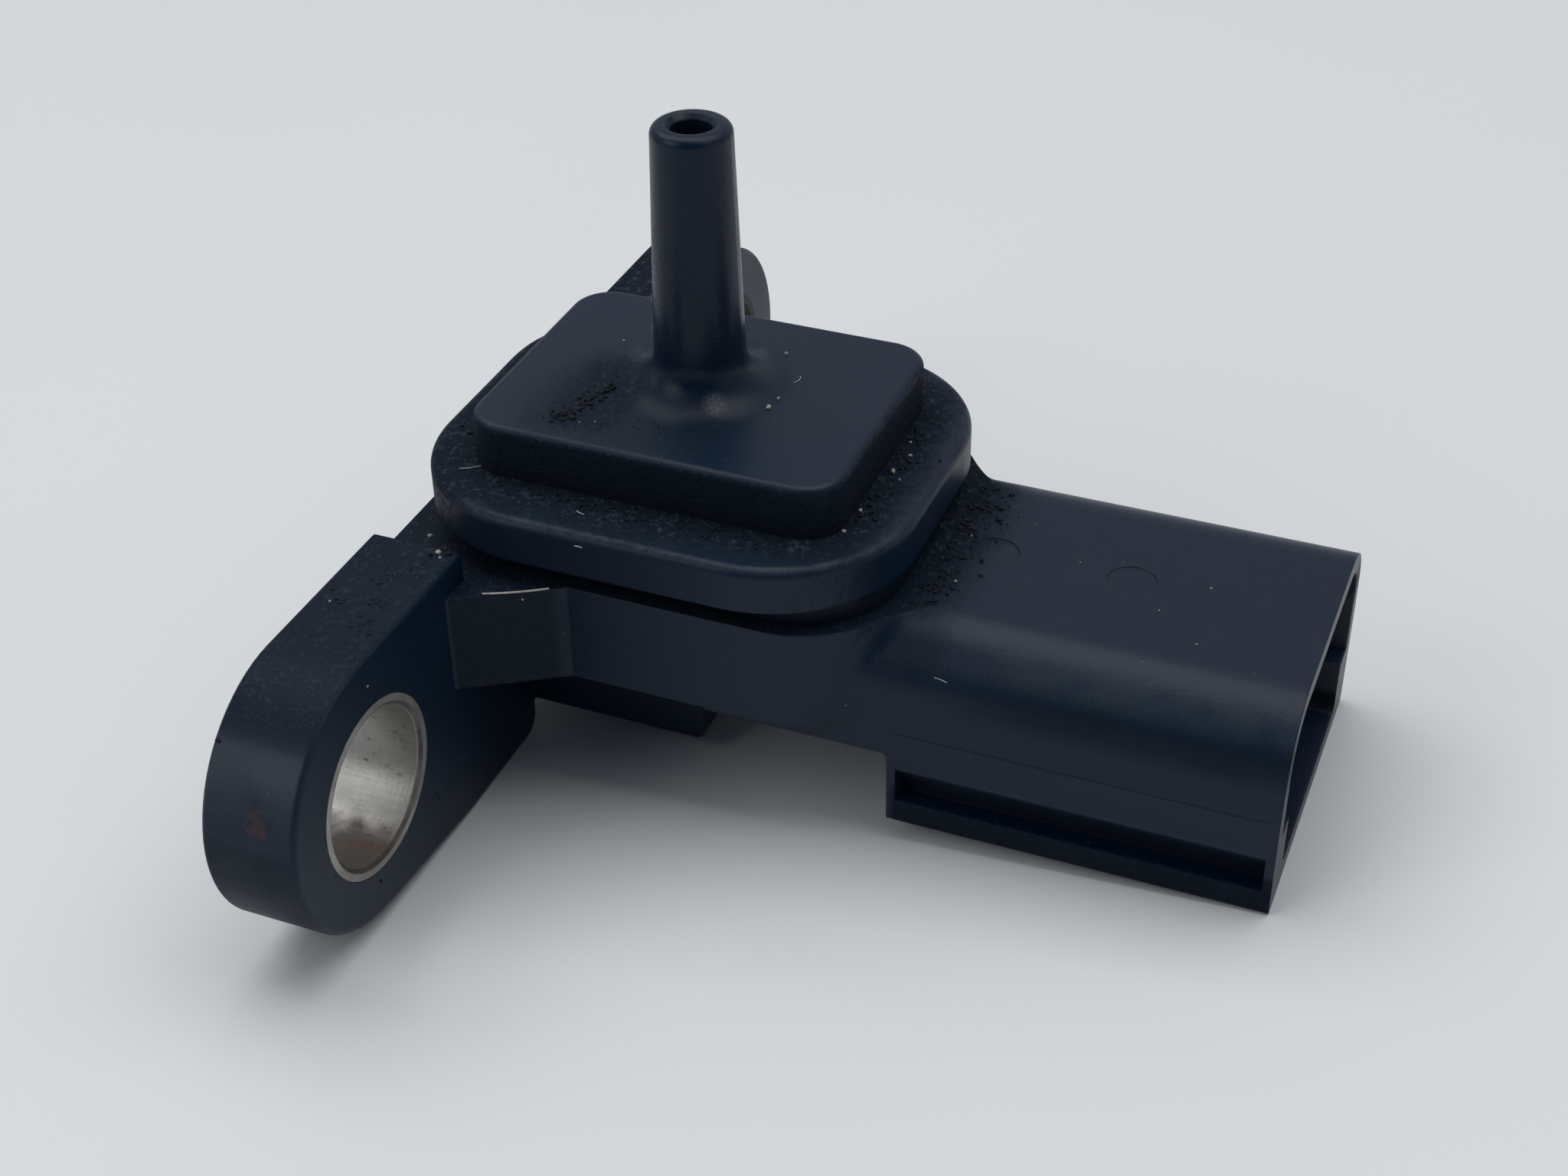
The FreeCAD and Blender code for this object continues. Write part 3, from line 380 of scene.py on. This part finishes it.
def housing_plastic():
    """The housing: dusty where it meets the cap, a rubbed film with painted sheen on its shoulders,
    painted sheen on its ears' rims and far tip, painted shade on some faces, painted light in its socket,
    a rust spot and a parting line.
    """
    s = MouldedPlastic("housing_plastic")
    flat_top = s.up.ramp(0.6, 0.9)
    side = abs(s.facing("Y")).ramp(0.45, 0.75)
    outer = s.x.ramp(SHROUD_START_X, SHROUD_START_X + 0.5)
    ear_rim = abs(s.y).ramp(23.0, 26.5) * s.x.ramp(PLATE_FRONT_X, PLATE_FRONT_X - 0.4)
    wander = (s.noise(3.0, 3.0) - 0.5) * 0.10
    behind_mouth = s.x.ramp(MOUTH_X - 0.4, MOUTH_X - 0.6)
    parting = (s.z + wander).near(PARTING_Z, 0.07, 0.03) * side * outer * behind_mouth
    side_dust_and_shade = housing_side_dust_and_shade(s, flat_top, side, outer, ear_rim)
    dust_and_shade = housing_top_dust_and_shade(s, flat_top).larger(side_dust_and_shade, parting * 0.6)
    smear = s.noise(0.5, 5.0, 0.75)
    rust = (s.off_point(RUST_SPOT) - smear * 3.0).ramp(-0.70, -1.25) * 0.45
    # Painted sheen: a paler band round the middle of the ears' rims
    rim_sheen = s.z.near(RIM_SHEEN_Z, 2.2, 0.6) * ear_rim
    # A rubbed film along the connector's shoulders, also a painted sheen band
    on_shoulder = s.z.near(SHOULDER_Z, 1.1, 0.3) * abs(s.y).near(SHOULDER_Y, 1.4, 0.4)
    shoulder_film_and_sheen = on_shoulder * s.x.ramp(28.0, 34.0)
    # Painted highlight on the far ear's outer tip
    far_tip_highlight = s.y.ramp(26.5, 28.0) * s.z.ramp(6.6, 5.6)
    worn = rim_sheen.larger(shoulder_film_and_sheen * 0.55, far_tip_highlight * 0.9) * s.cloud.ramp(0.30, 0.62, 0.35, 1.0)
    # Painted light: the socket's far inner wall made paler
    lit_socket_wall = s.y.ramp(5.5, 6.5) * s.facing("Y").ramp(-0.5, -0.8) * s.x.ramp(34.0, 44.0)
    return s.settle(dust_and_shade, worn, bright=lit_socket_wall * 0.25, rust=rust)


STEEL_DULL = (0.42, 0.41, 0.38)
STEEL_BRIGHT = (0.54, 0.53, 0.50)
# Paler steel for a painted highlight band
STEEL_HIGHLIGHT = (0.66, 0.65, 0.62)
STEEL_STREAK = (0.30, 0.28, 0.25)
STEEL_RUST = (0.15, 0.065, 0.035)
STEEL_PITTED = (0.045, 0.036, 0.030)
BROWN_GRIME = (0.105, 0.090, 0.078)
BLACK_GRIME = (0.012, 0.013, 0.015)


def bush_steel(name, grime_share, ring_clean, grime_colour):
    """Bare steel: scratched along its bore, browned at the bottom, with a dirty line behind its ring and
    a painted highlight band across its middle.
    """
    s = Shader(name)
    y = abs(s.axis("Y")) - HOLE_Y
    z = s.axis("Z")
    radius = (y * y + z * z) ** 0.5
    ring = s.facing("X").ramp(0.6, 0.9)
    streaks = s.noise(0.20, 4.0, 0.7, s.stretched((0.10, 1.0, 1.0)))
    turns = s.noise(0.16, 3.0, 0.7, s.stretched((1.0, 0.12, 0.12)))
    cloud = s.noise(1.6, 5.0, 0.65)
    stain = s.noise(0.8, 5.0, 0.75)
    inward = 0 - y
    low = inward.ramp(2.4, -0.4) * z.ramp(-1.0, -2.5)
    high = inward.ramp(2.7, 3.7)
    line = radius.near(BUSH_BORE_RADIUS + 0.12, 0.16, 0.05) * (0.4 + cloud * 0.8)
    rust = (stain + low * 0.20 + high * 0.10).ramp(0.68, 0.78) * (1 - ring * 0.6)
    settled = cloud * 0.9 + low * 0.62 + high * 0.14 + grime_share
    grime = settled.ramp(0.46, 1.05) * (1 - ring * ring_clean)
    drag = s.stretched((0.35, 1.0, 1.0), (0.0, 0.3, 0.0))
    marks = s.noise(0.30, 4.0, 0.7, drag).ramp(0.64, 0.72)
    # Painted highlight: a paler band across the middle of the bore
    highlight_band = inward.near(2.4, 1.6, 0.6) * z.ramp(0.5, -1.0) * (1 - ring)
    colour = s.mix(cloud.ramp(0.35, 0.65), STEEL_DULL, STEEL_BRIGHT)
    colour = s.mix(highlight_band * 0.10, colour, STEEL_HIGHLIGHT)
    colour = s.mix(streaks.ramp(0.55, 0.75) * 0.4, colour, STEEL_STREAK)
    colour = s.mix(grime * 0.9, colour, grime_colour)
    colour = s.mix(rust * (0.6 - grime_share * 0.5), colour, STEEL_RUST)
    colour = s.mix(line.larger(marks * 0.8), colour, STEEL_PITTED)
    roughness = 0.30 + streaks * 0.14 + turns * 0.08 + grime * 0.25 + rust * 0.25 + ring * 0.08
    metallic = 1 - (grime * 0.35 + rust * 0.45 + line * 0.2)
    normal = s.bump(streaks * 0.6 + turns * 0.5 + stain * 0.7 - marks * 0.8, 0.03, 0.6)
    return s.finish(Base_Color=colour, Roughness=roughness, Metallic=metallic, Normal=normal)


def clouded(name, colour, worn, cloud_mm, onset, rough, grain, **sockets):
    """A finish that a soft cloud varies between two colours."""
    s = Shader(name)
    cloud = s.noise(cloud_mm, 4.0)
    mixed = s.mix(cloud.ramp(onset, 0.7), colour, worn)
    bumped = s.bump(s.noise(0.08, 3.0), 0.01, grain)
    return s.finish(Base_Color=mixed, Roughness=rough + cloud * 0.2, Normal=bumped, **sockets)


def bright_metal(name, colour, worn, rough=0.3):
    return clouded(name, colour, worn, 0.8, 0.35, rough, 0.5, Metallic=1.0)


def even_solid(name, colour, worn, rough=0.5, shine=0.5):
    return clouded(name, colour, worn, 0.5, 0.3, rough, 0.6, Specular_IOR_Level=shine)


def dress(material, *names):
    for name in names:
        mesh = NODES[name].data
        mesh.materials.clear()
        mesh.materials.append(material)


dress(housing_plastic(), "housing")
dress(cap_plastic(), "pressure_cap")
ADHESIVE = even_solid("adhesive", (0.0016, 0.0060, 0.0150), (0.0030, 0.0090, 0.0200), 0.4, shine=0.2)
dress(ADHESIVE, "adhesive_seal", "board_adhesive")
dress(bush_steel("bush_steel", 0.0, 0.55, BROWN_GRIME), "bush_near")
dress(bush_steel("bush_steel_grimy", 0.9, 0.0, BLACK_GRIME), "bush_far")
TERMINALS = ("terminal_supply", "terminal_signal", "terminal_ground")
dress(bright_metal("tinned_brass", (0.62, 0.62, 0.60), (0.50, 0.48, 0.42)), *TERMINALS)
dress(even_solid("board_ceramic", (0.80, 0.79, 0.74), (0.70, 0.69, 0.64)), "circuit_board")
dress(even_solid("case_plastic", (0.02, 0.02, 0.022), (0.03, 0.03, 0.032)), "sensor_case")
dress(bright_metal("lead_metal", (0.62, 0.62, 0.60), (0.52, 0.52, 0.50)), "case_leads")
dress(bright_metal("solder", (0.58, 0.58, 0.58), (0.42, 0.42, 0.42), 0.25), "lead_solder")
dress(even_solid("pedestal_glass", (0.60, 0.68, 0.66), (0.55, 0.63, 0.60), 0.1), "glass_pedestal")
dress(even_solid("silicon", (0.10, 0.11, 0.13), (0.13, 0.14, 0.17), 0.1), "sensing_die", "amplifier_chip")
dress(bright_metal("gold_wire", (0.80, 0.56, 0.22), (0.72, 0.50, 0.20), 0.2), "die_wires")
dress(even_solid("gel", (0.70, 0.72, 0.72), (0.62, 0.65, 0.66), 0.08), "protective_gel")
dress(bright_metal("aluminium_wire", (0.68, 0.69, 0.70), (0.60, 0.61, 0.62)), "terminal_wires")
dress(even_solid("coating_resin", (0.012, 0.012, 0.014), (0.02, 0.02, 0.022), 0.15), "chip_coating")
CAPACITORS = ("capacitor_supply", "capacitor_output", "capacitor_filter")
dress(even_solid("capacitor_ceramic", (0.32, 0.20, 0.11), (0.26, 0.16, 0.09), 0.4), *CAPACITORS)


def add_piece(name, shape, material):
    """Makes an object at the origin from a bmesh, which is freed."""
    mesh = bpy.data.meshes.new(name)
    shape.to_mesh(mesh)
    shape.free()
    mesh.materials.append(material)
    piece = bpy.data.objects.new(name, mesh)
    bpy.context.scene.collection.objects.link(piece)
    return piece


def lump(shape, place, size, flatness, chance):
    """One uneven grain of about this size, turned at random, resting in the surface."""
    turn = Matrix.Rotation(chance.uniform(0, math.tau), 4, (chance.random(), chance.random(), 1.0))
    made = bmesh.ops.create_icosphere(shape, subdivisions=1, radius=size / 2 * MM, matrix=turn)
    grow = Vector([chance.uniform(0.7, 1.3), chance.uniform(0.7, 1.3), flatness])
    bmesh.ops.scale(shape, vec=grow, verts=made["verts"])
    for vert in made["verts"]:
        vert.co *= chance.uniform(0.78, 1.12)
    raised = Vector(place) * MM + Vector((0, 0, size * flatness * 0.25 * MM))
    bmesh.ops.translate(shape, vec=raised, verts=made["verts"])


# Place and size of each pale grain
PALE_GRAINS = (
    ((15.89, 4.12, PLATEAU_Z), 0.30),
    ((17.17, -0.10, PLATEAU_Z), 0.20),
    ((17.04, -1.04, PLATEAU_Z), 0.30),
    ((7.50, 2.49, PLATEAU_Z), 0.16),
    ((8.90, -5.60, PLATEAU_Z), 0.12),
    ((9.60, -5.30, PLATEAU_Z), 0.14),
    ((23.31, -0.36, LEDGE_Z), 0.42),
    ((23.86, -0.89, LEDGE_Z), 0.22),
    ((23.01, -4.10, LEDGE_Z), 0.24),
    ((22.30, -4.20, LEDGE_Z), 0.14),
    ((22.14, -6.46, LEDGE_Z), 0.22),
    ((22.87, -6.04, LEDGE_Z), 0.20),
    ((23.20, 2.60, LEDGE_Z), 0.18),
    ((23.60, 1.40, LEDGE_Z), 0.22),
    ((1.63, -8.78, HOUSING_TOP_Z), 0.30),
    ((8.50, -12.00, HOUSING_TOP_Z), 0.14),
    ((1.11, -17.25, EAR_TOP_Z), 0.16),
    ((3.95, -11.85, EAR_TOP_Z), 0.30),
    ((4.25, -12.20, EAR_TOP_Z), 0.18),
    ((PLATE_FRONT_X, -20.77, 5.80), 0.13),
    ((32.83, 0.60, HOUSING_TOP_Z), 0.12),
    ((39.35, 0.72, HOUSING_TOP_Z), 0.13),
    ((37.46, -1.95, HOUSING_TOP_Z), 0.12),
    ((39.77, -3.94, HOUSING_TOP_Z), 0.12),
    ((27.10, 0.90, HOUSING_TOP_Z), 0.14),
    ((27.60, -3.10, HOUSING_TOP_Z), 0.16),
)


def pale_grains():
    """The pale grains of grit that lie on the part."""
    shape = bmesh.new()
    chance = random.Random(4)
    for place, size in PALE_GRAINS:
        lump(shape, place, size, 0.8, chance)
    s = Shader("grit_pale")
    colour = s.mix(s.noise(0.12, 3.0).ramp(0.3, 0.7), (0.42, 0.41, 0.36), (0.26, 0.23, 0.18))
    return add_piece("grit_pale", shape, s.finish(Base_Color=colour, Roughness=0.55))


# Place and size of each loose flake of black dirt
BLACK_FLAKES = (
    ((4.45, -11.75, EAR_TOP_Z), 0.42),
    ((3.70, -12.15, EAR_TOP_Z), 0.36),
    ((4.10, -11.45, EAR_TOP_Z), 0.30),
    ((0.28, -26.00, 5.20), 0.40),
    ((PLATE_FRONT_X, -22.05, -5.24), 0.24),
    ((PLATE_FRONT_X, -25.49, -1.98), 0.14),
    ((PLATE_FRONT_X, -16.22, -4.44), 0.14),
)
EAR_CLUSTERS = ((3.3, -16.5), (3.5, -18.3), (2.6, -14.6), (1.3, -16.9), (3.8, -13.4))


def beside_plateau(chance):
    """A random point on the ledge, most often close to the plateau's foot."""
    off = 0.12 + abs(chance.gauss(0.0, 0.65))
    along = chance.uniform(-1.0, 1.0)
    side = chance.choice((-1, 1))
    half_x, half_y = PLATEAU_HALF
    if chance.random() < half_x / (half_x + half_y):
        x = CAP_CENTRE[0] + along * (half_x - PLATEAU_CORNER)
        return x, side * (half_y + min(off, 2.6)), LEDGE_Z
    x = CAP_CENTRE[0] + side * (half_x + min(off, 2.4))
    return x, along * (half_y - PLATEAU_CORNER), LEDGE_Z


def beside_nipple(chance):
    """A random point in the streak of crumbs that runs towards the nipple's foot."""
    along = chance.uniform(0.0, 1.0) ** 1.6
    return 7.7 + along * 1.5 + chance.gauss(0, 0.35), -5.6 + along * 4.4 + chance.gauss(0, 0.3), PLATEAU_Z


def on_plateau_film(chance):
    return chance.uniform(7.0, 15.5), chance.gauss(-4.4, 1.1), PLATEAU_Z


def by_skirt_front(chance):
    x = SKIRT_FRONT_X + 0.4 + abs(chance.gauss(0.0, 1.0))
    return x, chance.uniform(-5.6, 5.6), HOUSING_TOP_Z


def in_ear_cluster(middle):
    """What finds a random point on the near ear's top, close to this one."""
    x, y = middle
    return lambda chance: (x + chance.gauss(0.0, 0.3), y + chance.gauss(0.0, 0.4), EAR_TOP_Z)


# How many crumbs, what finds their places, their least size and how much larger the largest is,
# a power that makes large ones rarer, and their flatness
CRUMB_FIELDS = (
    (420, beside_plateau, 0.08, 0.22, 2, 0.7),
    (110, beside_nipple, 0.09, 0.24, 2, 0.7),
    (60, on_plateau_film, 0.06, 0.07, 1, 0.5),
    (240, by_skirt_front, 0.08, 0.26, 3, 0.6),
    *((16, in_ear_cluster(middle), 0.08, 0.18, 2, 0.4) for middle in EAR_CLUSTERS),
)


def black_crumbs():
    """Crumbs of black dirt in the corner round the plateau, beside the nipple and by the skirt."""
    shape = bmesh.new()
    chance = random.Random(11)
    for place, size in BLACK_FLAKES:
        lump(shape, place, size, 0.6, chance)
    for count, find_place, least, range_mm, rarity, flatness in CRUMB_FIELDS:
        for _ in range(count):
            place = find_place(chance)
            size = least + range_mm * chance.random() ** rarity
            lump(shape, place, size, flatness, chance)
    s = Shader("grit_black")
    cloud = s.noise(0.2, 3.0).ramp(0.35, 0.65)
    colour = s.mix(cloud, (0.0020, 0.0035, 0.0055), (0.008, 0.012, 0.017))
    finish = s.finish(Base_Color=colour, Roughness=0.7, Specular_IOR_Level=0.2)
    return add_piece("grit_black", shape, finish)


def fibre(shape, start, end, bow, radius):
    """A curved fibre: a ring of six points spun from one end towards the other."""
    start, end = Vector(start) * MM, Vector(end) * MM
    along = end - start
    middle = (start + end) / 2
    side = Vector(bow).normalized()
    rise = max(Vector(bow).length * MM, along.length * 0.02)
    reach = (along.length ** 2 / 4 - rise ** 2) / (2 * rise)
    centre = middle - side * reach
    axis = (start - centre).cross(end - centre).normalized()
    sweep = (start - centre).angle(end - centre)
    forward = axis.cross(start - centre).normalized()
    facing = forward.to_track_quat("Z", "Y").to_matrix().to_4x4()
    ring = bmesh.ops.create_circle(
        shape, cap_ends=True, segments=6, radius=radius * MM, matrix=Matrix.Translation(start) @ facing
    )
    cap = ring["verts"][0].link_faces[0]
    bmesh.ops.spin(
        shape, geom=ring["verts"] + [cap] + list(cap.edges),
        cent=centre, axis=axis, angle=sweep, steps=10, use_merge=False,
    )


# Start, end, bow and radius of each fibre. The first is the burr along the gusset's top edge.
FIBRES = (
    ((6.44, -12.26, 5.72), (9.15, -10.54, 5.74), (0.05, -0.10, 0.02), 0.055),
    ((3.06, -7.63, 9.42), (4.00, -7.05, 9.46), (0.1, -0.2, 0.1), 0.022),
    ((10.23, -9.00, 9.42), (10.75, -9.25, 9.44), (0.0, -0.1, 0.05), 0.024),
    ((10.99, -10.93, 8.80), (11.35, -10.93, 8.62), (0.0, 0.0, 0.03), 0.026),
    ((28.47, -8.75, 4.10), (29.11, -8.80, 4.00), (0.0, -0.05, 0.08), 0.018),
    ((6.96, -8.97, 1.05), (7.55, -8.97, 1.75), (0.05, -0.02, 0.05), 0.030),
    ((17.30, 1.60, 12.19), (17.50, 2.40, 12.19), (0.15, 0.0, 0.02), 0.020),
    ((10.75, 0.30, 16.9), (10.35, 0.55, 15.9), (-0.15, 0.0, 0.1), 0.022),
    ((10.72, 0.25, 15.2), (10.55, 0.30, 14.2), (-0.15, 0.0, 0.1), 0.020),
)


def pale_fibres():
    """Short pale fibres caught on the part."""
    shape = bmesh.new()
    for start, end, bow, radius in FIBRES:
        fibre(shape, start, end, bow, radius)
    bmesh.ops.recalc_face_normals(shape, faces=shape.faces)
    s = Shader("fibre_pale")
    colour = s.mix(s.noise(0.2, 3.0).ramp(0.3, 0.7), (0.50, 0.49, 0.45), (0.34, 0.32, 0.28))
    return add_piece("fibre_pale", shape, s.finish(Base_Color=colour, Roughness=0.6))


for loose_dirt in (pale_grains(), black_crumbs(), pale_fibres()):
    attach(loose_dirt, "root")


# The part rests on the front edges of its feet and the lower edge of the connector's mouth.
FOOT_FRONT_X = 5.0
FOOT_FRONT_Z = -7.9
FLOOR_SLOPE = (MOUTH_FOOT_Z - FOOT_FRONT_Z) / (MOUTH_X - FOOT_FRONT_X)
FLOOR_HALF = 2500.0


def lay_floor():
    """Pale paper under the part, far larger than the view."""
    shape = bmesh.new()
    lean = Matrix.Rotation(-math.atan(FLOOR_SLOPE), 4, "Y")
    rest = Matrix.Translation(Vector((FOOT_FRONT_X, 0.0, FOOT_FRONT_Z)) * MM)
    bmesh.ops.create_grid(shape, x_segments=2, y_segments=2, size=FLOOR_HALF * MM, matrix=rest @ lean)
    s = Shader("floor_paper")
    colour = s.mix(s.noise(60.0, 3.0), (0.72, 0.745, 0.76), (0.75, 0.775, 0.79))
    finish = s.finish(Base_Color=colour, Roughness=0.5, Normal=s.bump(s.noise(0.6, 3.0), 0.02, 0.3))
    add_piece("floor", shape, finish)


lay_floor()


def softbox(name, place, target, size, brightness):
    """A soft lamp whose whole face is equally bright. The camera doesn't see it."""
    data = bpy.data.lights.new(name, "AREA")
    data.shape = "RECTANGLE"
    data.size, data.size_y = (side * MM for side in size)
    data.energy = brightness * math.pi * data.size * data.size_y
    lamp = bpy.data.objects.new(name, data)
    lamp.location = Vector(place) * MM
    lamp.rotation_mode = "QUATERNION"
    lamp.rotation_quaternion = (Vector(target) - Vector(place)).to_track_quat("-Z", "Y")
    lamp.visible_camera = False
    bpy.context.scene.collection.objects.link(lamp)


softbox("overhead_softbox", (-60, 90, 450), (-60, 0, 0), (900, 380), 1.7)
softbox("side_softbox", (-290, -370, 300), (10, 0, 0), (320, 340), 1.5)

# The room is pale up to the first of these cosines from the dim side and dim past the second.
DIM_SIDE = (0.20, -0.95, 0.22)
DIM_FROM, DIM_FULL = 0.50, 0.88
ROOM_LIGHT = (0.39, 0.40, 0.41)
DIM_LIGHT = (0.025, 0.05, 0.085)


def light_room():
    """An even pale room that is darker and cooler on the side where the viewer stands."""
    world = bpy.data.worlds.new("studio")
    world.use_nodes = True
    bpy.context.scene.world = world
    nodes = world.node_tree.nodes
    links = world.node_tree.links
    place = nodes.new("ShaderNodeTexCoord")
    aim = nodes.new("ShaderNodeVectorMath")
    aim.operation = "DOT_PRODUCT"
    aim.inputs[1].default_value = Vector(DIM_SIDE).normalized()
    ramp = nodes.new("ShaderNodeValToRGB")
    ramp.color_ramp.interpolation = "EASE"
    stops = zip(ramp.color_ramp.elements, (DIM_FROM, DIM_FULL), (ROOM_LIGHT, DIM_LIGHT))
    for stop, position, colour in stops:
        stop.position = position
        stop.color = (*colour, 1.0)
    links.new(place.outputs["Generated"], aim.inputs[0])
    links.new(aim.outputs["Value"], ramp.inputs["Fac"])
    links.new(ramp.outputs["Color"], nodes["Background"].inputs["Color"])


light_room()

CAMERA_PLACE = (55.176, -91.595, 71.476)
CAMERA_RIGHT = (0.92762003, 0.37326227, -0.01401266)
CAMERA_DOWN = (0.2065184, -0.54377017, -0.81342741)
CAMERA_FORWARD = (-0.31124143, 0.75165769, -0.58149763)
LENS_MM = 53.35
SENSOR_MM = 36.0
NEAREST_MM = 5.0
FARTHEST_MM = 10000.0


def place_camera():
    """The viewer stands in front of the near ear and looks down on the part."""
    lens = bpy.data.cameras.new("camera")
    lens.sensor_fit = "HORIZONTAL"
    lens.sensor_width = SENSOR_MM
    lens.lens = LENS_MM
    lens.clip_start = NEAREST_MM * MM
    lens.clip_end = FARTHEST_MM * MM
    camera = bpy.data.objects.new("camera", lens)
    backward = [-v for v in CAMERA_FORWARD]
    up = [-v for v in CAMERA_DOWN]
    turn = Matrix((CAMERA_RIGHT, up, backward)).transposed()
    camera.matrix_world = Matrix.Translation(Vector(CAMERA_PLACE) * MM) @ turn.to_4x4()
    bpy.context.scene.collection.objects.link(camera)
    bpy.context.scene.camera = camera


place_camera()
bpy.context.scene.view_settings.view_transform = "Standard"
